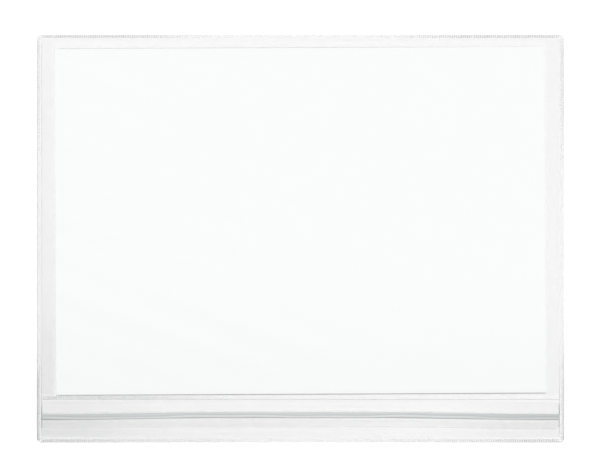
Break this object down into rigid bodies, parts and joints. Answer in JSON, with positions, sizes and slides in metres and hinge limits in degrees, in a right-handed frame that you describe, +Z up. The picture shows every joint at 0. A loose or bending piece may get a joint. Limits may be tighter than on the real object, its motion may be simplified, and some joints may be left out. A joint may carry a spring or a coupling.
{
  "type": "clear document holder",
  "caption": "Clear welded document pocket, landscape, holding a blank white sheet, with ribbed rim seams and a full-width flap along its lower edge that presses shut on a zip.",
  "frame": {"origin": "middle of the underside of the back film, on the surface that the pocket lies on", "axes": "+X along the long edges towards the reader's right, +Y towards the top edge of the sheet, +Z up out of the surface, towards the reader"},
  "size_m": [0.32, 0.2474, 0.0033],
  "materials": {
    "clear_film": "clear gloss",
    "welded_film": "clear, ribbed by the welding tool",
    "zip_plastic": "clear, satin",
    "white_paper": "matt"
  },
  "bodies": {
    "pocket": {"back_film": "clear_film", "front_film": "clear_film", "lower_panel": "clear_film", "top_seam": "welded_film", "bottom_seam": "welded_film", "left_seam": "welded_film", "right_seam": "welded_film", "closure_seam": "welded_film", "zip_rib_strip": "zip_plastic"},
    "flap": {"closure_flap": "clear_film", "zip_groove_strip": "zip_plastic"},
    "sheet": {"insert_sheet": "white_paper"}
  },
  "joints": [
    {"name": "flap_hinge", "type": "hinge", "parent": "pocket", "child": "flap", "pos_m": [0, -0.09805, 0.00155], "axis": [-1, 0, 0], "range_deg": [0, 135]},
    {"name": "sheet_slide", "type": "slide", "parent": "pocket", "child": "sheet", "axis": [0, 1, 0], "range_m": [-0.025, 0.003]}
  ]
}
